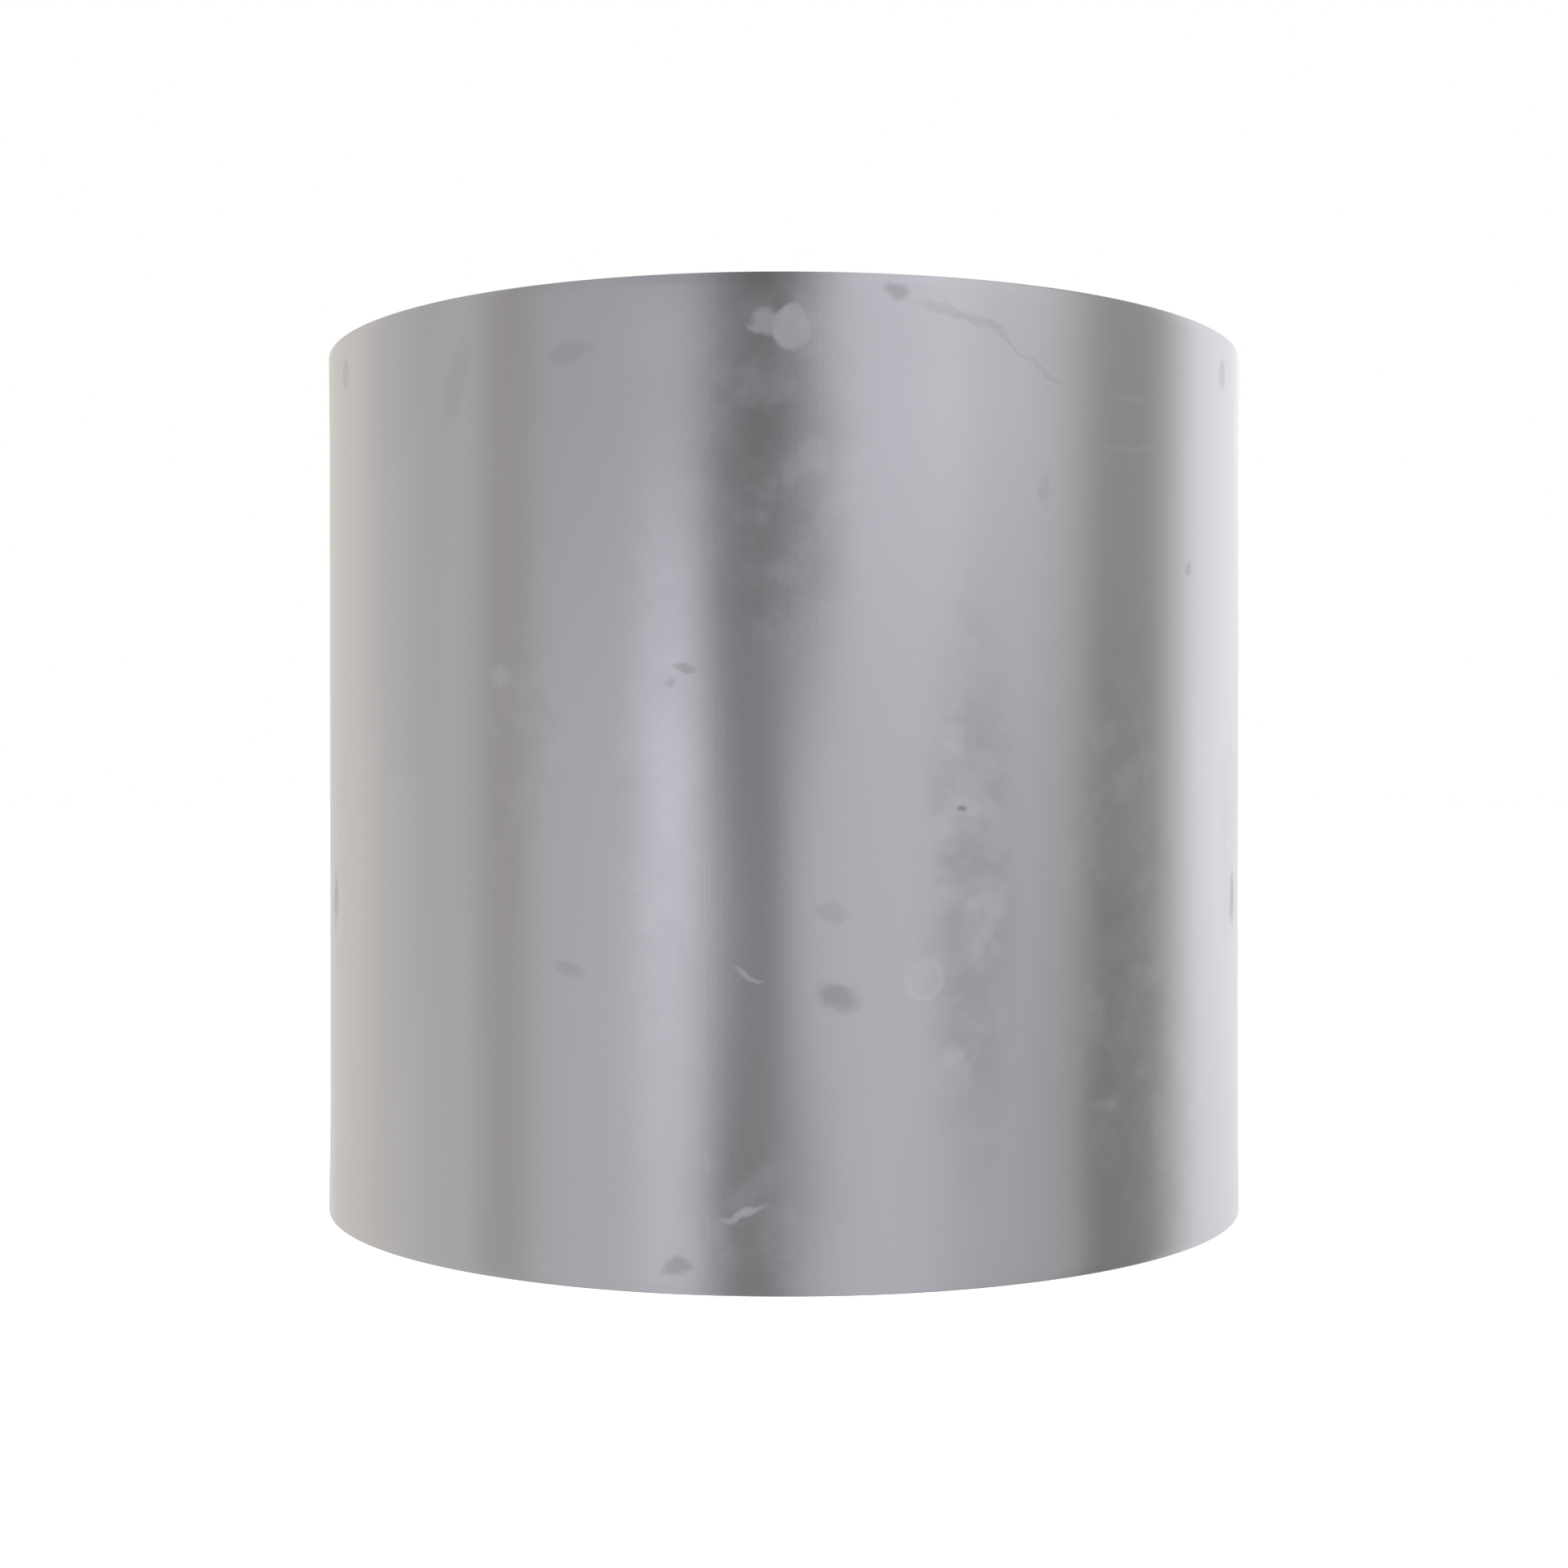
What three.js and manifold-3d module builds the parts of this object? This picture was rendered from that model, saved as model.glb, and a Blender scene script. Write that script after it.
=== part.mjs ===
// A round candle tin: a rolled wall with folded edges, a base plate, an inner ring and a press-in
// lid, filled with wax around one wick.
// Millimetres, +Z up. The origin is the middle of the foot, on the surface that the tin stands on.
// The side seam is at the back, towards +Y.

import * as THREE from "three";
import { mergeVertices } from "three/addons/utils/BufferGeometryUtils.js";
import Module from "manifold-3d";

const wasm = await Module();
wasm.setup();

// Driving dimensions
const TIN_RADIUS = 44.5;
const TIN_HEIGHT = 81.6;
const SHEET = 0.3; // tinplate
const RIM_STAND = 2.2; // how far the rim stands above the inner ring's ledge
const MOUTH_RADIUS = 39.1;
const WAX_TOP = 63;
const WICK_TIP = 70;
const WICK_RADIUS = 1.3;

// Fits
const LOOSE = 0.1; // between pieces that were pushed together
const SNUG = 0.05; // between pieces that touch
const SLIDE = 0.15; // between the lid and the ring it slides in

// Roundness of the turned pieces
const AROUND = 60;
const AROUND_SMALL = 24;
const CORNER_STEPS = 2;
const CURL_STEPS = 8;

const WALL_INSIDE = TIN_RADIUS - SHEET;
const LEDGE_TOP = TIN_HEIGHT - RIM_STAND;

// Points on an arc around [radius, height] centre, from one angle to another, in degrees.
function arc([r, z], size, from, to, steps) {
  return Array.from({ length: steps + 1 }, (_, i) => {
    const angle = THREE.MathUtils.degToRad(from + ((to - from) * i) / steps);
    return [r + size * Math.cos(angle), z + size * Math.sin(angle)];
  });
}

// The path through these points, with each corner rounded. A corner is [radius, height, bend],
// where bend is how far from the corner the rounding starts, and 0 or nothing keeps it sharp.
function rounded(corners) {
  const at = corners.map(([r, z]) => new THREE.Vector2(r, z));
  return corners.flatMap(([r, z, bend], i) => {
    if (!bend) return [[r, z]];
    const before = at[i - 1].clone().sub(at[i]).setLength(bend).add(at[i]);
    const after = at[i + 1].clone().sub(at[i]).setLength(bend).add(at[i]);
    const curve = new THREE.QuadraticBezierCurve(before, at[i], after);
    return curve.getPoints(CORNER_STEPS).map((p) => [p.x, p.y]);
  });
}

// The outline of a sheet of metal whose one face follows the path, with its thickness on the left.
function sheetOutline(path, thickness) {
  const at = path.map(([r, z]) => new THREE.Vector2(r, z));
  const leftOf = (a, b) => new THREE.Vector2(a.y - b.y, b.x - a.x).normalize();
  const other = at.map((p, i) => {
    const ahead = leftOf(p, at[i + 1] ?? p);
    const behind = leftOf(at[i - 1] ?? p, p);
    const mean = ahead.clone().add(behind).normalize();
    const side = ahead.lengthSq() > 0 ? ahead : behind;
    return p.clone().addScaledVector(mean, thickness / mean.dot(side));
  });
  return [...other.reverse().map((p) => [p.x, p.y]), ...path];
}

// A solid turned about +Z from an outline of [radius, height] points, anticlockwise.
// An outline that starts on the axis ends on it, and any other outline is closed here.
function turned(outline, around = AROUND) {
  const points = outline.map(([r, z]) => new THREE.Vector2(Math.max(r, 0), z));
  if (points[0].x > 0) points.push(points[0].clone());
  return new THREE.LatheGeometry(points, around).rotateX(Math.PI / 2);
}

function solid(geometry) {
  const bare = geometry.clone().deleteAttribute("normal").deleteAttribute("uv");
  const merged = mergeVertices(bare, 1e-4);
  return new wasm.Manifold(
    new wasm.Mesh({
      numProp: 3,
      vertProperties: merged.attributes.position.array,
      triVerts: new Uint32Array(merged.index.array),
    }),
  );
}

function geometryOf(manifold) {
  const mesh = manifold.getMesh();
  return new THREE.BufferGeometry()
    .setAttribute("position", new THREE.BufferAttribute(mesh.vertProperties, 3))
    .setIndex(new THREE.BufferAttribute(mesh.triVerts, 1))
    .toNonIndexed();
}

function piece(name, geometry, color, roughness, metalness) {
  geometry.computeVertexNormals();
  const material = new THREE.MeshStandardMaterial({ color, roughness, metalness });
  const mesh = new THREE.Mesh(geometry, material);
  mesh.name = name;
  return mesh;
}

// The wall: one sheet, folded flat inwards at the foot and back on itself at the rim. Its two ends
// lap inside at the back.
const FOOT_WIDTH = 3;
const EDGE_BEND = 0.15;
const HEM_THICKNESS = 2 * SHEET + SNUG;
const SEAM_WIDTH = 3;
const SEAM_LAP = 0.28;
const SEAM_FROM = 5;
const SEAM_TO = 75;

function sideWall() {
  const hemInside = TIN_RADIUS - HEM_THICKNESS;
  const hemBottom = LEDGE_TOP + LOOSE;
  const wall = turned(
    rounded([
      [TIN_RADIUS - FOOT_WIDTH, 0],
      [TIN_RADIUS, 0, EDGE_BEND],
      [TIN_RADIUS, TIN_HEIGHT, EDGE_BEND],
      [hemInside, TIN_HEIGHT, EDGE_BEND],
      [hemInside, hemBottom],
      [WALL_INSIDE, hemBottom],
      [WALL_INSIDE, SHEET],
      [TIN_RADIUS - FOOT_WIDTH, SHEET],
    ]),
  );
  const sunkIn = SHEET / 2;
  const lap = new THREE.BoxGeometry(SEAM_WIDTH, SEAM_LAP + sunkIn, SEAM_TO - SEAM_FROM);
  lap.translate(
    0,
    WALL_INSIDE + (sunkIn - SEAM_LAP) / 2,
    (SEAM_FROM + SEAM_TO) / 2,
  );
  return geometryOf(solid(wall).add(solid(lap)));
}

// The inner ring: a channel, open below. Its outer skirt is welded to the wall, and its inner skirt
// is the mouth that the lid presses into.
const RING_OUTER_DEPTH = 4;
const RING_INNER_DEPTH = 5.4;

function topRing() {
  const outside = WALL_INSIDE - SNUG;
  return turned(
    sheetOutline(
      rounded([
        [outside, LEDGE_TOP - RING_OUTER_DEPTH],
        [outside, LEDGE_TOP, 0.5],
        [MOUTH_RADIUS, LEDGE_TOP, 0.8],
        [MOUTH_RADIUS, LEDGE_TOP - RING_INNER_DEPTH],
      ]),
      SHEET,
    ),
  );
}

// The lid: a pan whose curled edge rests on the ring's ledge, with a groove for the gasket.
const CURL_RADIUS = 0.75;
const CURL_CENTRE = [MOUTH_RADIUS + 1.5, LEDGE_TOP + CURL_RADIUS + 0.02];
const PLUG_INSIDE = MOUTH_RADIUS - SLIDE - SHEET;
const PAN_FLOOR = LEDGE_TOP - 4.4;
const GROOVE_DEPTH = 0.65;
const GROOVE_SLOPE = 0.3;
const GROOVE_FROM = LEDGE_TOP - 3.6;
const GROOVE_TO = LEDGE_TOP - 0.2;
const LID_BEAD_RADIUS = 31.5;
const LID_BEAD_HEIGHT = 0.7;
const LID_CENTRE_RADIUS = 25;
const LID_CENTRE_RISE = 0.8;

function lidPan() {
  const grooveInside = PLUG_INSIDE - GROOVE_DEPTH;
  const top = CURL_CENTRE[1] + CURL_RADIUS;
  const beadTop = PAN_FLOOR + LID_BEAD_HEIGHT;
  const centreTop = PAN_FLOOR + LID_CENTRE_RISE;
  return turned(
    sheetOutline(
      [
        ...arc(CURL_CENTRE, CURL_RADIUS, 205, 450, CURL_STEPS),
        ...rounded([
          [CURL_CENTRE[0] - 0.1, top],
          [PLUG_INSIDE, top, 0.7],
          [PLUG_INSIDE, GROOVE_TO],
          [grooveInside, GROOVE_TO - GROOVE_SLOPE],
          [grooveInside, GROOVE_FROM + GROOVE_SLOPE],
          [PLUG_INSIDE, GROOVE_FROM],
          [PLUG_INSIDE, PAN_FLOOR, 0.5],
          [LID_BEAD_RADIUS + 1.9, PAN_FLOOR],
          [LID_BEAD_RADIUS + 0.6, beadTop],
          [LID_BEAD_RADIUS - 0.6, beadTop],
          [LID_BEAD_RADIUS - 1.9, PAN_FLOOR],
          [LID_CENTRE_RADIUS + 0.8, PAN_FLOOR],
          [LID_CENTRE_RADIUS, centreTop],
          [0, centreTop],
        ]),
      ],
      SHEET,
    ),
  );
}

// The gasket: a soft ring in the lid's groove, with its lip just inside the ring's skirt.
function lidGasket() {
  const inside = PLUG_INSIDE - GROOVE_DEPTH + SHEET + SNUG;
  const lip = MOUTH_RADIUS - LOOSE / 2;
  const clear = GROOVE_SLOPE + SHEET + 2.5 * LOOSE;
  const low = GROOVE_FROM + clear;
  const high = GROOVE_TO - clear;
  return turned(
    rounded([
      [inside, low],
      [lip - 0.4, low],
      [lip, (low + high) / 2, 0.45],
      [lip - 0.4, high],
      [inside, high],
    ]),
  );
}

// The base plate: its edge stands up inside the wall and rests on the sealed foot.
const SEAL_THICKNESS = 0.3;
const BASE_OUTSIDE = WALL_INSIDE - SEAM_LAP - LOOSE;
const BASE_EDGE_TOP = 4.5;
const BASE_EDGE_FLOOR = 2 * SHEET + SEAL_THICKNESS;
const BASE_FLOOR = 2.3;
const BASE_PANEL_RADIUS = 40.4;
const BASE_BEAD_RADIUS = 30;

function basePlate() {
  const edgeInside = BASE_OUTSIDE - SHEET;
  const beadFloor = BASE_FLOOR - 0.7;
  return turned(
    sheetOutline(
      rounded([
        [edgeInside, BASE_EDGE_TOP],
        [edgeInside, BASE_EDGE_FLOOR, 0.4],
        [BASE_PANEL_RADIUS + 0.8, BASE_EDGE_FLOOR],
        [BASE_PANEL_RADIUS, BASE_FLOOR],
        [BASE_BEAD_RADIUS + 2, BASE_FLOOR],
        [BASE_BEAD_RADIUS + 0.7, beadFloor],
        [BASE_BEAD_RADIUS - 0.7, beadFloor],
        [BASE_BEAD_RADIUS - 2, BASE_FLOOR],
        [0, BASE_FLOOR],
      ]),
      SHEET,
    ),
  );
}

function baseSeal() {
  const inside = TIN_RADIUS - FOOT_WIDTH + LOOSE;
  const outside = BASE_OUTSIDE - LOOSE;
  const low = SHEET + 0.02;
  const high = SHEET + SEAL_THICKNESS - 0.02;
  return turned([
    [inside, low],
    [outside, low],
    [outside, high],
    [inside, high],
  ]);
}

// The wick's foot is stuck to the middle of the base plate, and its neck holds the wick upright.
const STICKER_RADIUS = 9.5;
const STICKER_BOTTOM = BASE_FLOOR + 0.02;
const STICKER_TOP = STICKER_BOTTOM + 0.5;
const SUSTAINER_RADIUS = 10;
const SUSTAINER_SHEET = 0.25;
const SUSTAINER_TOP = STICKER_TOP + 0.02 + SUSTAINER_SHEET;
const NECK_TOP = SUSTAINER_TOP + 6;
const NECK_RADIUS = WICK_RADIUS + SNUG + SUSTAINER_SHEET;

function wickSticker() {
  return turned(
    [
      [0, STICKER_BOTTOM],
      [STICKER_RADIUS, STICKER_BOTTOM],
      [STICKER_RADIUS, STICKER_TOP],
      [0, STICKER_TOP],
    ],
    AROUND_SMALL,
  );
}

function wickSustainer() {
  return turned(
    sheetOutline(
      rounded([
        [SUSTAINER_RADIUS, SUSTAINER_TOP],
        [NECK_RADIUS, SUSTAINER_TOP],
        [NECK_RADIUS, NECK_TOP],
      ]),
      SUSTAINER_SHEET,
    ),
    AROUND_SMALL,
  );
}

function wick() {
  const length = WICK_TIP - STICKER_TOP - LOOSE;
  const cord = new THREE.CylinderGeometry(WICK_RADIUS, WICK_RADIUS, length, 16);
  return cord.rotateX(Math.PI / 2).translate(0, 0, WICK_TIP - length / 2);
}

// The wax fills the tin around the wick and its foot, and climbs a little at the wall and the wick.
const WAX_RADIUS = WALL_INSIDE - SEAM_LAP - SNUG;
const WAX_CLIMB = 0.6;

function waxFill() {
  const bottom = BASE_FLOOR + LOOSE;
  const inEdge = BASE_OUTSIDE - SHEET - LOOSE;
  const aboveEdge = BASE_EDGE_TOP + LOOSE;
  const footHole = SUSTAINER_RADIUS + LOOSE;
  const footTop = SUSTAINER_TOP + LOOSE;
  const neckHole = NECK_RADIUS + LOOSE;
  const wickHole = WICK_RADIUS + LOOSE;
  return turned([
    [footHole, bottom],
    [inEdge, bottom],
    [inEdge, aboveEdge],
    [WAX_RADIUS, aboveEdge],
    [WAX_RADIUS, WAX_TOP + WAX_CLIMB],
    [WAX_RADIUS - 0.7, WAX_TOP + 0.2],
    [WAX_RADIUS - 2, WAX_TOP],
    [wickHole + 2, WAX_TOP],
    [wickHole + 0.6, WAX_TOP + 0.2],
    [wickHole, WAX_TOP + WAX_CLIMB],
    [wickHole, NECK_TOP + LOOSE],
    [neckHole, NECK_TOP + LOOSE],
    [neckHole, footTop],
    [footHole, footTop],
  ]);
}

const tin = new THREE.Group();
tin.add(
  piece("side_wall", sideWall(), 0xa1a0a5, 0.38, 1),
  piece("top_ring", topRing(), 0xa8a7aa, 0.36, 1),
  piece("base_plate", basePlate(), 0xa4a3a6, 0.4, 1),
  piece("base_seal", baseSeal(), 0x6b6a66, 0.8, 0),
  piece("wick_sticker", wickSticker(), 0xe9e6dc, 0.7, 0),
  piece("wick_sustainer", wickSustainer(), 0xb4b3b2, 0.35, 1),
  piece("wick", wick(), 0xe8e0cf, 0.9, 0),
  piece("wax_fill", waxFill(), 0xf1e9d6, 0.5, 0),
);

const lid = new THREE.Group();
lid.add(
  piece("lid_pan", lidPan(), 0xa9a8ab, 0.36, 1),
  piece("lid_gasket", lidGasket(), 0xd9dad8, 0.55, 0),
);

const candleTin = new THREE.Group();
candleTin.add(tin, lid);

export default candleTin;
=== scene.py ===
# %% [markdown]
# # A candle tin
# We build the looks of a round candle tin: a rolled tinplate wall with sharp folded edges, a base
# plate, an inner ring, a lid that presses into that ring, and under the lid the wax and its wick.
# The pieces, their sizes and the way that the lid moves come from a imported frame, so this file only
# makes each piece fine enough to look at, and gives it its real finish.
#
# Nearly every piece of a tin is turned or pressed round, so one helper that turns an outline about
# the upright axis makes most of them. What makes a tin look real is the metal, so most of the work
# goes into its finish and into what it has to reflect.

# %% Load the frame
import math

import bmesh
import bpy
import numpy as np
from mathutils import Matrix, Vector


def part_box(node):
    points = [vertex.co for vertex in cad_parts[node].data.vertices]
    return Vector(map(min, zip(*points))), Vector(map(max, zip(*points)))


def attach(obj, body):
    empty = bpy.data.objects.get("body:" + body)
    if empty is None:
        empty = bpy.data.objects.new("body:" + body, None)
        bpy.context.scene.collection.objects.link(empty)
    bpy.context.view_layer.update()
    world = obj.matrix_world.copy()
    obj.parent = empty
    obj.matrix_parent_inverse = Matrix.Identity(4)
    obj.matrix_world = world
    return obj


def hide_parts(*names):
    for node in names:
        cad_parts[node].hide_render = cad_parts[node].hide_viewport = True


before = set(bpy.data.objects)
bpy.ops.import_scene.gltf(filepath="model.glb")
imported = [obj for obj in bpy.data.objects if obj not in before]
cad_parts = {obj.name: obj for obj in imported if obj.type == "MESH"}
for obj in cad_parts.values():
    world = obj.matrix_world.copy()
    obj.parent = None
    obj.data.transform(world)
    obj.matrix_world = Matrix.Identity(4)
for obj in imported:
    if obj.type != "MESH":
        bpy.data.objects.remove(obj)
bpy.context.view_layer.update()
MM = 0.001

wall_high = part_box("side_wall")[1]
TIN_RADIUS = wall_high.x
TIN_HEIGHT = wall_high.z
print("tin:", round(2 * TIN_RADIUS / MM, 2), "mm across,", round(TIN_HEIGHT / MM, 2), "mm high")

# %% [markdown]
# ## The camera
# A product shot of a tin is often taken dead level with its middle. Then the upright sides stay
# parallel, and near rim and near foot bow away from each other because the lens is close. We set
# how far away the camera is in tin radii, because that alone decides how strong the bow is.

# %% Camera
def add_object(name, data):
    made = bpy.data.objects.new(name, data)
    bpy.context.scene.collection.objects.link(made)
    return made


CAMERA_DISTANCE = 4.89 * TIN_RADIUS
CAMERA_LENS_MM = 50
CAMERA_SENSOR_MM = 36
CAMERA_NEAR = 10 * MM

camera_data = bpy.data.cameras.new("camera")
camera_data.lens = CAMERA_LENS_MM
camera_data.sensor_width = CAMERA_SENSOR_MM
camera_data.clip_start = CAMERA_NEAR
camera = add_object("camera", camera_data)
camera.location = (0, -CAMERA_DISTANCE, TIN_HEIGHT / 2)
camera.rotation_euler = (math.radians(90), 0, 0)
bpy.context.scene.camera = camera
bpy.context.scene.view_settings.view_transform = "Standard"
print("camera:", round(CAMERA_DISTANCE / MM), "mm from the tin's axis, level with its middle")


# %% [markdown]
# ## A short way to write nodes
# Materials and the studio light are node trees. `node` makes a node, sets it, plugs in its inputs and
# hands back an output, so that a recipe reads from top to bottom like a sum. The others are the sums
# that come up most: `mix` blends two colours, and `add_share` adds changes to a running total.

# %% Node helper
def node(tree, kind, inputs=(), out=0, **settings):
    """Adds one shader node and returns one of its outputs. Inputs are a list or {socket: value}."""
    made = tree.nodes.new("ShaderNode" + kind)
    for name, value in settings.items():
        setattr(made, name, value)
    pairs = inputs.items() if isinstance(inputs, dict) else enumerate(inputs)
    for name, value in pairs:
        if isinstance(value, bpy.types.NodeSocket):
            tree.links.new(value, made.inputs[name])
        elif value is not None:
            made.inputs[name].default_value = value
    return made.outputs[out]


def new_material(name, recipe, *settings):
    """A material whose recipe lays out its nodes."""
    material = bpy.data.materials.new(name)
    material.use_nodes = True
    material.node_tree.nodes.clear()
    recipe(material.node_tree, *settings)
    return material


def show(tree, shader, kind="Material"):
    output = tree.nodes.new("ShaderNodeOutput" + kind)
    tree.links.new(shader, output.inputs["Surface"])


def on_object(tree):
    """The place on the object, in metres."""
    return node(tree, "TexCoord", out="Object")


def maths(tree, operation, *values):
    return node(tree, "Math", values, operation=operation)


def vectors(tree, operation, *values, out=0):
    return node(tree, "VectorMath", values, out=out, operation=operation)


def split(tree, vector):
    """The x, y and z of a vector."""
    return node(tree, "SeparateXYZ", [vector]).node.outputs


def fade(tree, value, start, end, low=0.0, high=1.0):
    """A soft step: low until start, high after end."""
    return node(tree, "MapRange", [value, start, end, low, high], interpolation_type="SMOOTHSTEP")


def mix(tree, amount, first, second):
    """A colour between two others. Each is an output or (red, green, blue)."""
    colours = [(*c, 1.0) if isinstance(c, tuple) else c for c in (first, second)]
    return node(tree, "MixRGB", [amount, *colours])


def plus(tree, first, second):
    return maths(tree, "ADD", first, second)


def minus(tree, first, second):
    return maths(tree, "SUBTRACT", first, second)


def times(tree, first, second):
    return maths(tree, "MULTIPLY", first, second)


def add_share(tree, total, amount, share):
    """Adds share, a triple of numbers, to the total as far as amount (0 to 1) says."""
    return vectors(tree, "MULTIPLY_ADD", node(tree, "CombineXYZ", [amount] * 3), share, total)


# %% [markdown]
# ## The studio
# Bare metal has no colour of its own to speak of: it shows the room. A photographer stands white and
# black cards round a tin to draw soft upright bands on it. We do the same with the world's light. It
# starts as an even grey room, and each card adds light or takes it away over a range of directions,
# with soft edges. A card can be stronger near its foot or its head, so that a band fades as it climbs.

# %% World light
ROOM_GREY = 0.6
ROOM_TINT = (1.0, 0.985, 0.975)
COOL = (0.96, 0.95, 1.06)
WARM = (1.14, 1.0, 0.76)
DUSK = (0.985, 0.95, 1.03)
ROSE = (0.92, 1.0, 1.0)
AMBER = (1.06, 1.0, 0.74)
BLUE = (0.1, 0.0, 1.0)
NEUTRAL = (1.0, 1.0, 1.0)
# name: direction in degrees from the camera's side, half width, soft edge, and the light that it
# adds low down, level and high up, and its tint.
CARDS = {
    "sky in front": (5, 45, 30, (0.035, 0.04, 0.04), BLUE),
    "glow behind left": (-170, 10, 14, (0.17, 0.05, 0.04), NEUTRAL),
    "glow far left": (-140, 25, 35, (0.13, 0.15, 0.15), WARM),
    "shade left": (-105, 10, 12, (-0.05, -0.1, -0.13), AMBER),
    "gap left": (-70, 3, 8, (-0.17, -0.19, -0.18), ROSE),
    "shade high left": (-40, 20, 12, (0.0, 0.0, -0.11), NEUTRAL),
    "strip left": (-26, 3, 9, (0.12, 0.38, -0.03), COOL),
    "flag beside the camera": (-8, 4, 9, (-0.38, -0.34, -0.38), DUSK),
    "flag over the camera": (3, 3, 9, (-0.06, 0.02, -0.28), DUSK),
    "card right": (26, 10, 14, (0.05, 0.07, 0.2), COOL),
    "fill right": (51, 8, 14, (-0.08, -0.02, 0.17), NEUTRAL),
    "edge of the flag right": (73, 5, 10, (-0.11, -0.08, 0.03), NEUTRAL),
    "flag right": (90, 8, 11, (-0.32, -0.26, -0.22), NEUTRAL),
    "window right": (135, 12, 17, (0.33, 0.45, 0.45), DUSK),
    "glow behind": (173, 11, 14, (0.4, 0.3, 0.7), NEUTRAL),
}
BAND_TILT = 13.0  # degrees from level to where a card is at its low or high strength
DARKEST = (0.02, 0.02, 0.02)
# degrees above level where a zone starts and where it is full, and the light that it adds.
OVERHEAD = {"dark gap over the cards": (30.0, 45.0, -0.2), "ceiling lamp": (46.0, 70.0, 0.5)}


def make_world():
    world = bpy.data.worlds.new("studio")
    world.use_nodes = True
    tree = world.node_tree
    tree.nodes.clear()
    direction = node(tree, "TexCoord", out="Generated")
    x, y, z = split(tree, direction)
    turn = maths(tree, "DEGREES", maths(tree, "ARCTAN2", x, times(tree, y, -1.0)))
    rise = maths(tree, "DEGREES", maths(tree, "ARCSINE", z))
    low = fade(tree, rise, 0.0, -BAND_TILT)
    high = fade(tree, rise, 0.0, BAND_TILT)
    level = minus(tree, minus(tree, 1.0, low), high)
    height_share = node(tree, "CombineXYZ", [low, level, high])
    light = node(tree, "CombineXYZ", [ROOM_GREY * c for c in ROOM_TINT])
    for centre, half_width, edge, strengths, tint in CARDS.values():
        off = maths(tree, "WRAP", minus(tree, turn, float(centre)), 180.0, -180.0)
        inside = fade(tree, maths(tree, "ABSOLUTE", off), half_width + edge, half_width)
        strength = vectors(tree, "DOT_PRODUCT", height_share, strengths, out="Value")
        light = add_share(tree, light, times(tree, inside, strength), tint)
    for start, full, strength in OVERHEAD.values():
        above = fade(tree, rise, start, full, 0.0, strength)
        light = vectors(tree, "ADD", light, node(tree, "CombineXYZ", [above] * 3))
    light = vectors(tree, "MAXIMUM", light, DARKEST)
    studio = node(tree, "Background", [light])
    backdrop = node(tree, "Background", [(1, 1, 1, 1), 1.0])
    seen = node(tree, "LightPath", out="Is Camera Ray")
    show(tree, node(tree, "MixShader", [seen, studio, backdrop]), "World")
    return world


bpy.context.scene.world = make_world()
print("studio:", len(CARDS), "cards round the tin")

# %% [markdown]
# ## The floor
# The tin stands on a plain white sweep. It glows a little by itself, as an overlit white sheet does,
# so that only a faint contact shadow is left. The tin's metal doesn't mirror it, because the cards of
# the studio run on below the tin's foot and the bands should reach the bottom edge. One soft lamp from
# the upper left lights the wax, which shows little of the cards, and it too is kept out of the metal.

# %% Floor
FLOOR_RADIUS = 4.0
FLOOR_SIDES = 64
FLOOR_PAPER = (0.86, 0.86, 0.86, 1)
FLOOR_GLOW = 0.72


def glowing_paper(tree):
    paper = node(tree, "BsdfDiffuse", [FLOOR_PAPER])
    glow = node(tree, "Emission", [(1, 1, 1, 1), FLOOR_GLOW])
    lit = node(tree, "AddShader", [paper, glow])
    clear = node(tree, "BsdfTransparent")
    underside = node(tree, "NewGeometry", out="Backfacing")
    one_sided = node(tree, "MixShader", [underside, lit, clear])
    show(tree, one_sided)


def make_floor():
    mesh = bpy.data.meshes.new("floor")
    turns = [math.tau * i / FLOOR_SIDES for i in range(FLOOR_SIDES)]
    ring = [(FLOOR_RADIUS * math.cos(a), FLOOR_RADIUS * math.sin(a), 0.0) for a in turns]
    mesh.from_pydata(ring, [], [list(range(len(ring)))])
    mesh.materials.append(new_material("white_sweep", glowing_paper))
    floor = add_object("floor", mesh)
    floor.visible_glossy = False


make_floor()

# %% Soft lamp
LAMP_SIZE = 0.5
LAMP_WATTS = 6.0
LAMP_PLACE = Vector((-0.35, -0.25, 0.75))

lamp_data = bpy.data.lights.new("soft_lamp", "AREA")
lamp_data.size = LAMP_SIZE
lamp_data.energy = LAMP_WATTS
lamp = add_object("soft_lamp", lamp_data)
lamp.location = LAMP_PLACE
lamp.visible_glossy = False
lamp.rotation_euler = (-LAMP_PLACE).to_track_quat("-Z", "Y").to_euler()
print("floor and one soft lamp")


# %% [markdown]
# ## Turning a shape
# `turned` takes an outline of (radius, height) points and spins it, as a lathe does. An outline that
# starts on the axis ends on it; any other is closed into a ring. `rounded` gives an outline its bends,
# since pressed sheet has no knife-sharp corners, and `sheet` gives a bent line the metal's thickness.

# %% Outline helpers
AROUND = 360
ON_AXIS = 1e-9
SAME_POINT = 1e-7


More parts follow.
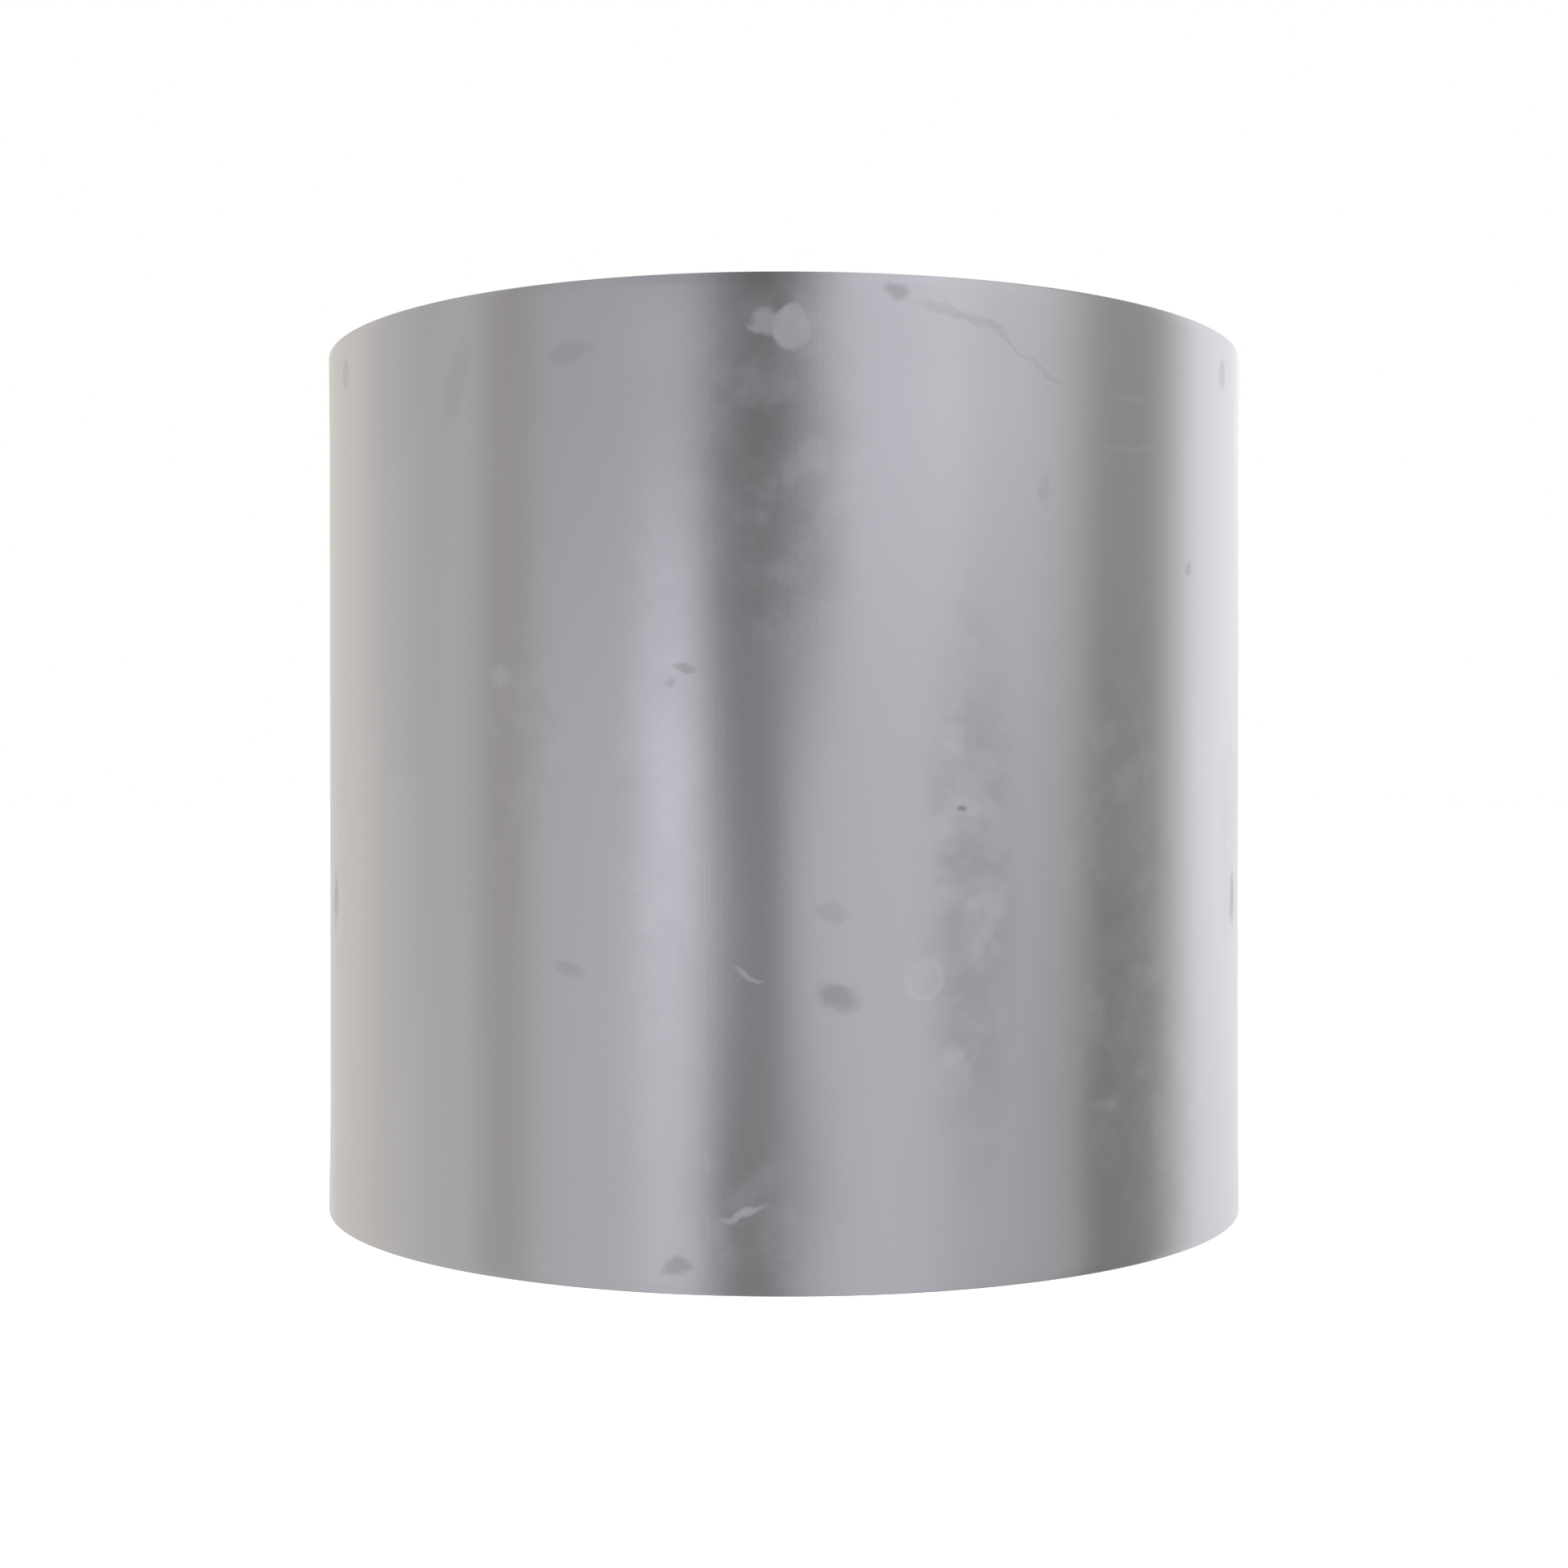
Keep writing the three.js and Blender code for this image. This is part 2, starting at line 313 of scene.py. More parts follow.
def rounded(corners, steps=6):
    """The line through (radius, height, bend) corners, each rounded with an arc of radius bend."""
    points = []
    for i, (r, z, bend) in enumerate(corners):
        here = np.array((r, z))
        if not bend:
            points.append(here)
            continue
        before = np.array(corners[i - 1][:2]) - here
        after = np.array(corners[i + 1][:2]) - here
        before /= np.linalg.norm(before)
        after /= np.linalg.norm(after)
        half = math.acos(np.clip(before @ after, -1, 1)) / 2
        reach = bend / math.tan(half)
        middle = before + after
        centre = here + middle / np.linalg.norm(middle) * bend / math.sin(half)
        start = here + before * reach - centre
        end = here + after * reach - centre
        turn = math.atan2(start[0] * end[1] - start[1] * end[0], start @ end)
        for k in range(steps + 1):
            c, s = math.cos(turn * k / steps), math.sin(turn * k / steps)
            points.append(centre + (start[0] * c - start[1] * s, start[0] * s + start[1] * c))
    return points


def arc(centre, radius, start, end, steps):
    """Points round a centre from one angle to another, in degrees."""
    angles = np.radians(np.linspace(start, end, steps + 1))
    return [np.array(centre) + radius * np.array((math.cos(a), math.sin(a))) for a in angles]


def sheet(line, thickness):
    """The closed outline of a sheet whose one face is the line, with its thickness on the left."""
    line = np.array(line)
    along = np.diff(line, axis=0)
    along /= np.linalg.norm(along, axis=1)[:, None]
    left = np.stack([-along[:, 1], along[:, 0]], axis=1)
    first = np.vstack([left[:1], left])
    second = np.vstack([left, left[-1:]])
    middle = first + second
    middle /= np.linalg.norm(middle, axis=1)[:, None]
    other = line + middle * thickness / np.sum(middle * first, axis=1)[:, None]
    return [*other[::-1], *line]


# %% Turning
def turned(name, outline, angles=None, shape=None):
    """A mesh object turned about the upright axis. shape may move (angle, radius, height) arrays."""
    if angles is None:
        angles = np.arange(AROUND) * math.tau / AROUND
    around = len(angles)
    outline = np.array(outline)
    outline[:, 0] = np.maximum(outline[:, 0], 0)
    on_axis = outline[0, 0] < ON_AXIS
    angle, radius = np.meshgrid(angles, outline[:, 0])
    height = np.repeat(outline[:, 1:2], around, axis=1)
    if shape:
        radius, height = shape(angle, radius, height)
    points = np.stack([radius * np.cos(angle), radius * np.sin(angle), height], axis=-1)
    rows = len(outline)
    index = np.arange(rows * around).reshape(rows, around)
    lower = index[:-1] if on_axis else index
    upper = index[1:] if on_axis else np.roll(index, -1, axis=0)
    faces = np.stack([lower, np.roll(lower, -1, 1), np.roll(upper, -1, 1), upper], axis=-1)
    mesh = bpy.data.meshes.new(name)
    mesh.from_pydata(points.reshape(-1, 3).tolist(), [], faces.reshape(-1, 4).tolist())
    if on_axis:
        close_on_axis(mesh)
    mesh.shade_smooth()
    return add_object(name, mesh)


def close_on_axis(mesh):
    """Merges the points that all lie on the axis."""
    work = bmesh.new()
    work.from_mesh(mesh)
    bmesh.ops.remove_doubles(work, verts=work.verts, dist=SAME_POINT)
    work.to_mesh(mesh)
    work.free()


def finish_piece(piece, body, slot, replaced, *look):
    """Puts a piece on its body, in place of the frame's plain one. look is for new_material."""
    piece.data.materials.append(new_material(*look))
    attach(piece, body)
    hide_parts(replaced)
    print(piece.name, "-", len(piece.data.polygons), "faces")


# %% [markdown]
# ## Tinplate
# Tinplate is thin steel with a skin of tin: a neutral grey metal with a satin gloss. In Blender that is
# a full metal with a roughness near a quarter. A flat value would look like plastic film, so the
# recipe adds what a real sheet has: a very fine grain, and slow patches where tone and gloss change.
# Both are worked out from the place on the object, in metres, so they keep their size.

# %% Tinplate recipe
TIN_COLOUR = (0.652, 0.65, 0.668)
TIN_ROUGHNESS = 0.23
PATCHES_PER_METRE = 55
GRAINS_PER_METRE = 4200
# How strongly the patches and the grain change the metal's tone and its roughness.
PATCH_CHANGE = (0.05, 0.07)
GRAIN_CHANGE = (0.04, 0.015)


def noise_at(tree, place, per_metre, detail=4.0, rough=0.55, twist=0.0):
    """Soft noise from 0 to 1 with about this many bumps to the metre."""
    settings = {"Scale": float(per_metre), "Detail": detail, "Roughness": rough, "Distortion": twist}
    return node(tree, "TexNoise", {"Vector": place, **settings}, out="Fac", noise_dimensions="3D")


def bumped(tree, height, depth, normal=None):
    """A surface direction that feels a height map. depth is in metres for a change from 0 to 1."""
    inputs = {"Strength": 1.0, "Distance": depth, "Height": height, "Normal": normal}
    return node(tree, "Bump", inputs, out="Normal")


def surface(tree, colour, roughness, normal, more=None):
    """Shows a surface. more holds any other sockets of its shader."""
    inputs = {"Base Color": colour, "Roughness": roughness, "Normal": normal, **(more or {})}
    show(tree, node(tree, "BsdfPrincipled", inputs, out="BSDF"))


def cloudy(weight, radius, scale):
    """The sockets that let light in and scatter it back, for surface."""
    return {"Subsurface Weight": weight, "Subsurface Radius": radius, "Subsurface Scale": scale}


def metal(tree, tone, roughness, normal, colour=TIN_COLOUR):
    """Shows bare metal: tone scales its colour, and all three may vary over the surface."""
    shade = node(tree, "VectorMath", {0: colour, "Scale": tone}, operation="SCALE")
    surface(tree, shade, roughness, normal, {"Metallic": 1.0})


def mottle(tree, place):
    """Slow patches and fine grain that every tinplate piece has: (tone change, roughness change)."""
    slow = minus(tree, noise_at(tree, place, PATCHES_PER_METRE, 5.0), 0.5)
    grain = minus(tree, noise_at(tree, place, GRAINS_PER_METRE, 2.0, 0.7), 0.5)
    tone, rough = (
        plus(tree, times(tree, slow, patch), times(tree, grain, fine))
        for patch, fine in zip(PATCH_CHANGE, GRAIN_CHANGE)
    )
    return tone, rough, grain


# %% [markdown]
# ## Marks on the wall
# A candle tin is handled with waxy fingers. Wax and dried drips are matte, so on a satin wall they
# scatter the light: a mark looks pale where the metal shows something dark and dull where it shows
# something bright. So every mark here raises the roughness, and nearly all change the tone a little:
# partly the marks' own tone, partly painted highlight and painted shade that copy that pale or dull
# look.
# Each mark is an ellipse on the unrolled wall whose edge is pushed about by noise. Larger clouds of
# smears are noise too, let through only inside a soft window, and some windows darken the whole
# metal there with painted shade.

# %% The marks
# degrees round from the front, share of the height below the rim, width and height in millimetres,
# tilt in degrees, how matte it is, and how much it darkens (-) or lightens (+), which mixes the mark's
# own tone with painted shade or painted highlight.
MARKS_WITH_PAINTED_LIGHT = [
    (5.6, 0.708, 3.1, 1.9, -25, 0.1, -0.19),
    (5.1, 0.625, 2.6, 1.5, -10, 0.05, -0.07),
    (18.8, 0.523, 0.9, 0.7, 0, 0.3, -0.2),
    (18.0, 0.515, 2.6, 0.7, -40, 0.1, 0.05),
    (17.7, 0.77, 1.7, 1.3, 20, 0.1, 0.1),
    (-3.6, 0.688, 2.3, 0.4, -35, 0.1, 0.14),
    (-4.4, 0.92, 3.6, 0.6, 20, 0.12, 0.16),
    (-11.3, 0.972, 2.3, 1.3, 10, 0.1, -0.14),
    (-10.3, 0.386, 1.8, 0.8, -10, 0.06, -0.13),
    (-12.0, 0.4, 0.9, 0.6, 0, 0.1, 0.06),
    (-23.0, 0.685, 2.6, 1.2, -15, 0.1, -0.08),
    (69.3, 0.63, 2.2, 4.4, 0, 0.1, -0.16),
    (-69.3, 0.63, 2.2, 4.4, 0, 0.1, -0.16),
    (28.8, 0.205, 1.4, 2.4, 0, 0.05, -0.05),
    (52.9, 0.268, 0.9, 1.0, 0, 0.05, -0.12),
    (58.0, 0.295, 2.0, 3.0, 10, 0.05, 0.05),
    (-38.5, 0.09, 2.4, 7.0, -18, 0.02, -0.06),
    (-23.0, 0.07, 3.9, 1.6, 8, 0.02, -0.09),
    (-31.8, 0.393, 1.9, 1.7, 0, 0.1, 0.06),
    (11.7, 0.017, 2.0, 1.2, -12, 0.05, -0.2),
    (18.6, 0.036, 6.4, 0.9, -12, 0.03, -0.09),
    (23.2, 0.05, 2.6, 0.7, -38, 0.03, -0.07),
    (27.6, 0.078, 6.0, 0.5, -30, 0.02, -0.055),
    (-1.9, 0.048, 1.8, 1.9, 20, 0.24, -0.02),
    (-3.1, 0.056, 0.9, 0.8, 0, 0.2, -0.02),
    (1.7, 0.03, 2.2, 1.4, 30, 0.06, 0.0),
    (41.5, 0.1, 5.0, 0.5, 2, 0.03, 0.03),
    (41.0, 0.152, 6.5, 0.45, 4, 0.03, 0.04),
    (37.5, 0.83, 3.0, 0.9, -8, 0.04, 0.08),
    (101.0, 0.36, 3.2, 2.2, 15, 0.2, -0.12),
    (118.0, 0.71, 2.0, 2.6, 0, 0.2, -0.12),
    (146.0, 0.22, 5.2, 0.6, -14, 0.1, 0.08),
    (-104.0, 0.55, 2.4, 2.8, 20, 0.2, -0.12),
    (-138.0, 0.33, 6.4, 0.5, 24, 0.1, 0.08),
    (-151.0, 0.76, 2.6, 2.0, 0, 0.2, -0.12),
    (167.0, 0.87, 3.0, 1.4, 10, 0.2, -0.12),
]
# The same first four, then the strength, and how much painted shade darkens the whole window.
CLOUDS_AND_PAINTED_SHADE = [
    (20.0, 0.59, 9.5, 50, 1.3, -0.07),
    (40.0, 0.65, 14, 52, 1.1, 0.0),
    (-1.0, 0.18, 16, 40, 1.2, 0.0),
    (-4.0, 0.93, 13, 18, 0.9, 0.0),
    (-13.0, 0.5, 9, 60, 0.6, 0.0),
    (-29.0, 0.46, 10, 22, 0.5, 0.0),
    (-68.0, 0.6, 10, 26, 0.5, 0.0),
    (50.0, 0.86, 12, 24, 0.6, 0.0),
    (68.0, 0.56, 9, 24, 0.6, -0.12),
    (108.0, 0.5, 26, 50, 0.9, -0.05),
    (152.0, 0.68, 22, 34, 0.8, 0.0),
    (-112.0, 0.38, 24, 42, 0.8, -0.04),
    (-158.0, 0.55, 26, 50, 0.8, 0.0),
]
RING_MARK = (14.7, 0.69, 3.8, 3.7)  # the same first four
# The spots where the inner ring is welded to the wall, in the column order of the marks, without the
# tilt. Their tone mixes heat tint with painted shade of the side dents and painted light on the front
# one.
WELDS = [
    (0.7, 0.055, 2.7, 3.4, 0.4, 0.06),
    (63.4, 0.044, 2.0, 2.7, 0.1, -0.05),
    (-63.4, 0.044, 2.1, 2.8, 0.1, -0.04),
    (126.5, 0.05, 2.4, 3.0, 0.3, -0.04),
    (-127.2, 0.047, 2.6, 3.0, 0.3, -0.04),
]


def height_of(share):
    return TIN_HEIGHT * (1 - share)


def unrolled(tree):
    """The place on the wall as (metres round from the front, metres up, 0)."""
    place = on_object(tree)
    x, y, z = split(tree, place)
    turn = maths(tree, "ARCTAN2", x, times(tree, y, -1.0))
    along = times(tree, turn, TIN_RADIUS)
    return place, node(tree, "CombineXYZ", [along, z, 0.0])


def from_mark(tree, flat, degrees, share, width, height, tilt=0.0):
    """How far a point is from a mark's middle: 1 on its edge."""
    middle = (math.radians(degrees) * TIN_RADIUS, height_of(share), 0.0)
    size = (width * MM / 2, height * MM / 2, 1.0)
    turn = (0, 0, math.radians(tilt))
    inside = node(tree, "Mapping", [flat, middle, turn, size], vector_type="TEXTURE")
    return vectors(tree, "LENGTH", inside, out="Value")


# What each layer adds where it is full: roughness, tone, and a third number that isn't used.
SMEAR_LOOK = (0.0, -0.07, 0.0)
BLOT_LOOK = (0.02, 0.09, 0.0)
RING_RIM_LOOK = (0.05, 0.07, 0.0)
RING_FILL_LOOK = (0.05, 0.06, 0.0)
RAGGED = (1.1 * MM, 1.1 * MM, 0.0)  # how far noise pushes the edge of a mark
ROUGHEST = 0.75
WALL_RELIEF = 0.004 * MM


def add_clouds_and_painted_shade(tree, total, place, flat):
    """Smears and blots, let through only inside soft windows, and painted shade that darkens some whole
    windows.
    """
    smear = fade(tree, noise_at(tree, place, 190, 3.0, 0.55, 0.4), 0.36, 0.68)
    blot = fade(tree, noise_at(tree, place, 300, 2.5, 0.55), 0.45, 0.72)
    for degrees, share, width, height, strength, shade in CLOUDS_AND_PAINTED_SHADE:
        edge = from_mark(tree, flat, degrees, share, width, height)
        window = times(tree, fade(tree, edge, 1.2, 0.35), strength)
        # The last column is painted shade: it lowers the tone of the whole window.
        total = add_share(tree, total, window, (0.0, shade, 0.0))
        total = add_share(tree, total, times(tree, window, smear), SMEAR_LOOK)
        total = add_share(tree, total, times(tree, window, blot), BLOT_LOOK)
    return total


def add_ring_mark(tree, total, ragged, flat):
    """A dried drop: a thin pale rim that is clear on one side only, round a faint film."""
    degrees, share, *size = RING_MARK
    edge = from_mark(tree, ragged, *RING_MARK)
    rim = minus(tree, 1.0, maths(tree, "ABSOLUTE", minus(tree, edge, 0.85)))
    far_side = from_mark(tree, flat, degrees - 1.6, share - 0.012, *size)
    rim = times(tree, fade(tree, rim, 0.8, 0.95), fade(tree, far_side, 0.5, 1.5))
    total = add_share(tree, total, rim, RING_RIM_LOOK)
    return add_share(tree, total, fade(tree, edge, 1.0, 0.7), RING_FILL_LOOK)


def worn_wall_with_painted_light(tree):
    place, flat = unrolled(tree)
    tone_change, rough_change, grain = mottle(tree, place)
    wobble = node(tree, "TexNoise", {"Vector": place, "Scale": 700.0, "Detail": 1.0}, out="Color")
    wobble = vectors(tree, "SUBTRACT", wobble, (0.5, 0.5, 0.5))
    ragged = vectors(tree, "MULTIPLY_ADD", wobble, RAGGED, flat)

    total = node(tree, "CombineXYZ", [0.0, 0.0, 0.0])
    for degrees, share, width, height, tilt, matte, tone in MARKS_WITH_PAINTED_LIGHT:
        edge = from_mark(tree, ragged, degrees, share, width, height, tilt)
        # Each mark's tone is its own colour mixed with painted highlight or painted shade.
        total = add_share(tree, total, fade(tree, edge, 1.5, 0.5), (matte, tone, 0.0))
    total = add_clouds_and_painted_shade(tree, total, place, flat)
    total = add_ring_mark(tree, total, ragged, flat)
    for degrees, share, width, height, matte, tone in WELDS:
        edge = from_mark(tree, ragged, degrees, share, width, height)
        # A weld's tone mixes heat tint with painted shade of its dent, or painted light on the front
        # spot.
        total = add_share(tree, total, fade(tree, edge, 1.25, 0.8), (matte, tone, 0.0))

    matte, tone, _ = split(tree, total)
    rough = plus(tree, plus(tree, matte, rough_change), TIN_ROUGHNESS)
    rough = maths(tree, "MINIMUM", rough, ROUGHEST)
    tone = plus(tree, plus(tree, tone, tone_change), 1.0)
    lines = noise_at(tree, vectors(tree, "MULTIPLY", flat, (1.0, 0.02, 1.0)), 3000, 2.0)
    height = plus(tree, times(tree, grain, 0.6), times(tree, lines, 0.4))
    normal = bumped(tree, height, WALL_RELIEF)
    metal(tree, tone, rough, normal)


# %% [markdown]
# ## The wall
# The wall is one sheet rolled into a drum. Its foot is folded flat inwards and its rim is folded back
# on itself. Real sheet is never a perfect cylinder: it bows in by a tenth of a millimetre between its
# stiff edges and ripples a little as it goes round, and a mirror-like surface shows even that. So we
# move the points of the wall in and out. The weld spots are shallow dents, and at the back the sheet's
# two ends overlap in a welded seam, a narrow raised line.

# %% The wall's shape
SHEET = 0.3 * MM
FOOT_WIDTH = 3.0 * MM
FOOT_INSIDE = TIN_RADIUS - FOOT_WIDTH
FOLD_BEND = 0.12 * MM
HEM = 0.65 * MM
HEM_GAP = 0.1 * MM
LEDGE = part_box("top_ring")[1].z
STIFF_EDGE = 9.0 * MM
WALL_BOW = 0.09 * MM
# Waves round the wall: how many, how fast they twist with the height, their start, and millimetres.
RIPPLES = [(3, 40, 0.3, 0.022), (5, -65, 1.9, 0.018), (8, 95, 4.1, 0.01), (13, -50, 2.6, 0.006)]

# A shallow buckle beside the front, which bends the reflected bands to and fro as they climb.
BUCKLE = 0.065 * MM
BUCKLE_ANGLE = math.radians(4 - 90)
BUCKLE_WIDTH = math.radians(9)
BUCKLE_WAVES = 15
BUCKLE_TOP = 0.3
BUCKLE_LENGTH = 0.66

WELD_DEPTH = 0.01 * MM
WELD_EDGE = (0.55 * MM, 0.38 * MM)  # where the dent starts and is full, for a weld 1 mm wide
SEAM_ANGLE = math.radians(90)
SEAM_HALF_WIDTH = 0.75 * MM
SEAM_RISE = 0.06 * MM
SEAM_END = 0.3 * MM
SEAM_BEAD = 1.1 * MM
SEAM_BEAD_SHARE = 0.2
LAP_SPAN = (5.0 * MM, 75.0 * MM)
LAP_HALF_WIDTH = 1.5 * MM
LAP_THICKNESS = 0.28 * MM
LAP_EDGE = 0.2 * MM
WELD_ZONE = (7 * MM, 1 * MM)  # down from the rim: the part of the wall with close rows of points
WELD_ZONE_STEP = 0.25 * MM
WALL_STEPS = 420
CLOSEST_STEP = 2e-4


def soft_step(value, start, end):
    t = np.clip((value - start) / (end - start), 0, 1)
    return t * t * (3 - 2 * t)


def turned_from(angle, middle):
    """The angle from a middle direction, between -pi and pi."""
    return np.angle(np.exp(1j * (angle - middle)))


def buckle(angle, height):
    off = turned_from(angle, BUCKLE_ANGLE)
    down = 1 - height / TIN_HEIGHT
    bend = np.cos((down - BUCKLE_TOP) / BUCKLE_LENGTH * math.tau)
    return BUCKLE * bend * np.sin(BUCKLE_WAVES * off) * np.exp(-((off / BUCKLE_WIDTH) ** 2))


def wall_push(angle, height):
    """How far the free part of the sheet stands in or out from a true cylinder."""
    free = soft_step(height, 0, STIFF_EDGE) * soft_step(TIN_HEIGHT - height, 0, STIFF_EDGE)
    ripple = sum(size * MM * np.sin(k * angle + m * height + start) for k, m, start, size in RIPPLES)
    return free * (ripple + buckle(angle, height) - WALL_BOW)


def from_seam(angle):
    return np.abs(turned_from(angle, SEAM_ANGLE)) * TIN_RADIUS


def lap_rise(angle, height):
    """How far the inner end of the sheet stands in from the wall where the two ends lap."""
    low, high = LAP_SPAN
    along = soft_step(height, low - LAP_EDGE, low) * soft_step(height, high + LAP_EDGE, high)
    return LAP_THICKNESS * along * soft_step(from_seam(angle), LAP_HALF_WIDTH, LAP_HALF_WIDTH - LAP_EDGE)


def seam_rise(angle, height):
    """How far the beads of the seam weld stand out at the back."""
    beads = 1 - SEAM_BEAD_SHARE + SEAM_BEAD_SHARE * np.cos(height * math.tau / SEAM_BEAD)
    raised = soft_step(from_seam(angle), SEAM_HALF_WIDTH, SEAM_HALF_WIDTH * 0.5) * beads
    below_rim = soft_step(TIN_HEIGHT - height, SEAM_END, STIFF_EDGE)
    return SEAM_RISE * raised * below_rim * soft_step(height, SEAM_END, STIFF_EDGE)


def wall_shape(angle, radius, height):
    """Bows and ripples the sheet, dents the weld spots and raises the seam at the back."""
    moved = wall_push(angle, height)
    outside = radius > TIN_RADIUS - SHEET / 2
    inside = ~outside & (radius > TIN_RADIUS - 1.1 * SHEET)
    for degrees, share, width, *_ in WELDS:
        off = turned_from(angle, math.radians(degrees - 90))
        away = np.hypot(off * TIN_RADIUS, height - height_of(share))
        dent = soft_step(away, *(width * edge for edge in WELD_EDGE))
        moved -= outside * WELD_DEPTH * dent
    moved += outside * seam_rise(angle, height)
    moved -= inside * lap_rise(angle, height)
    return np.minimum(radius + moved, TIN_RADIUS), height


def wall_angles():
    """Even steps round the wall, with finer ones at the seam and at each weld spot."""
    angles = list(np.arange(WALL_STEPS) * math.tau / WALL_STEPS)
    spans = [(SEAM_ANGLE, 1.8 * MM, 0.1 * MM)]
    spans += [(math.radians(degrees - 90), 2.4 * MM, 0.2 * MM) for degrees, *_ in WELDS]
    for middle, reach, step in spans:
        angles += list(middle + np.arange(-reach, reach, step) / TIN_RADIUS)
    angles = np.sort(np.mod(angles, math.tau))
    return angles[np.insert(np.diff(angles) > CLOSEST_STEP, 0, True)]


def side_wall():
    coarse = np.arange(MM, TIN_HEIGHT - WELD_ZONE[0], MM)
    fine = np.arange(*(TIN_HEIGHT - down for down in WELD_ZONE), WELD_ZONE_STEP)
    outside = [(TIN_RADIUS, z) for z in (*coarse, *fine)]
    hem_inside = TIN_RADIUS - HEM
    inside = TIN_RADIUS - SHEET
    hem_end = LEDGE + HEM_GAP
    start = rounded([(FOOT_INSIDE, 0, 0), (TIN_RADIUS, 0, FOLD_BEND), (TIN_RADIUS, MM, 0)], 4)[:-1]
    rim = [
        (TIN_RADIUS, TIN_HEIGHT - MM, 0),
        (TIN_RADIUS, TIN_HEIGHT, FOLD_BEND),
        (hem_inside, TIN_HEIGHT, 0.2 * MM),
        (hem_inside, hem_end, 0.1 * MM),
        (inside, hem_end, 0),
    ]
    low, high = LAP_SPAN
    lap_ends = [high + LAP_EDGE, high, low, low - LAP_EDGE]
    down = [(inside, z) for z in sorted([*np.arange(2, 79, 4) * MM, *lap_ends], reverse=True)]
    foot = [(inside, SHEET), (FOOT_INSIDE + 0.1 * MM, SHEET)]
    outline = [*start, *outside, *rounded(rim, 4)[1:], *down, *foot]
    return turned("wall", outline, wall_angles(), wall_shape)


finish_piece(side_wall(), "tin", "wall_tinplate", "side_wall", "satin_tinplate_wall", worn_wall_with_painted_light)

# %% [markdown]
# ## The inner ring
# A press-in lid needs a round mouth to grip. A second pressing, the ring, sits just under the rim and
# is spot welded to the wall: those are the round marks on the outside. In section it is a channel. Its
# outer skirt lies against the wall, its flat ledge carries a shallow groove that stiffens it, and its
# inner skirt ends in a small curl, so that no raw edge is left.

# %% The ring
SPUN_ROUGHNESS = 0.22
RING_SKIRT = 4 * MM
MOUTH_BEND = 0.7 * MM
RING_CURL = 0.6 * MM
RING_CURL_WRAP = (180, 420)
MOUTH_RADIUS = 39.1 * MM
LEDGE_GROOVE = (43.2 * MM, 41.8 * MM)
LEDGE_GROOVE_DEPTH = 0.25 * MM

# What rings, smudges, scratches and wear add in full: roughness, tone, and a third that isn't used.
SPUN_LOOKS = ((0.12, 0.05, 0.0), (0.09, -0.02, 0.0), (-0.04, 0.1, 0.0), (-0.1, 0.12, 0.0))
WORN_EDGE = 0.6 * MM
SMOOTHEST = 0.12
SPUN_RELIEF = 0.006 * MM

ring_low, ring_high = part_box("top_ring")
lid_low, lid_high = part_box("lid_pan")


def inner_ring():
    skirt_outside = ring_high.x
    groove_outside, groove_inside = LEDGE_GROOVE
    groove_floor = LEDGE - LEDGE_GROOVE_DEPTH
    slope = 1.6 * LEDGE_GROOVE_DEPTH
    curl_centre = (MOUTH_RADIUS + RING_CURL, ring_low.z + RING_CURL)
    corners = [
        (skirt_outside, LEDGE - RING_SKIRT, 0),
        (skirt_outside, LEDGE, 0.35 * MM),
        (groove_outside, LEDGE, 0.4 * MM),
        (groove_outside - slope, groove_floor, 0.3 * MM),
        (groove_inside + slope, groove_floor, 0.3 * MM),
        (groove_inside, LEDGE, 0.4 * MM),
        (MOUTH_RADIUS, LEDGE, MOUTH_BEND),
        (MOUTH_RADIUS, curl_centre[1] + 0.1 * MM, 0),
    ]
    curl = arc(curl_centre, RING_CURL, *RING_CURL_WRAP, 14)
    return turned("inner_ring", sheet([*rounded(corners), *curl], SHEET))


def spun_tin(tree, shift, top):
    """Pressed tinplate with faint rings, smudges, scratches and a polished top edge."""
    place = vectors(tree, "ADD", on_object(tree), (shift, 0.4 * shift, 0.0))
    x, y, z = split(tree, on_object(tree))
    flat = vectors(tree, "LENGTH", node(tree, "CombineXYZ", [x, y, 0.0]), out="Value")
    profile = node(tree, "CombineXYZ", [flat, shift, z])
    tone_change, rough_change, grain = mottle(tree, place)
    rings = minus(tree, noise_at(tree, profile, 1500, 3.0, 0.7), 0.5)
    smudge = fade(tree, noise_at(tree, place, 95, 4.0, 0.55, 0.5), 0.5, 0.7)
    settings = {"Vector": place, "Rotation": (0, 0, 0.7), "Scale": (1.0, 0.025, 0.2)}
    scratch_place = node(tree, "Mapping", settings)
    scratch = fade(tree, noise_at(tree, scratch_place, 1700, 2.0), 0.69, 0.75)
    broken = fade(tree, noise_at(tree, place, 130, 2.0), 0.5, 0.62)
    scratch = times(tree, scratch, broken)
    worn = fade(tree, z, top - WORN_EDGE, top)
    worn = times(tree, worn, noise_at(tree, place, 260, 3.0))
    changes = node(tree, "CombineXYZ", [rough_change, tone_change, 0.0])
    for layer, share in zip((rings, smudge, scratch, worn), SPUN_LOOKS):
        changes = add_share(tree, changes, layer, share)
    matte, tone, _ = split(tree, changes)
    rough = maths(tree, "MAXIMUM", plus(tree, matte, SPUN_ROUGHNESS), SMOOTHEST)
    tone = plus(tree, tone, 1.0)
    height = plus(tree, times(tree, rings, 0.7), times(tree, grain, 0.4))
    height = minus(tree, height, times(tree, scratch, 0.6))
    normal = bumped(tree, height, SPUN_RELIEF)
    metal(tree, tone, rough, normal)


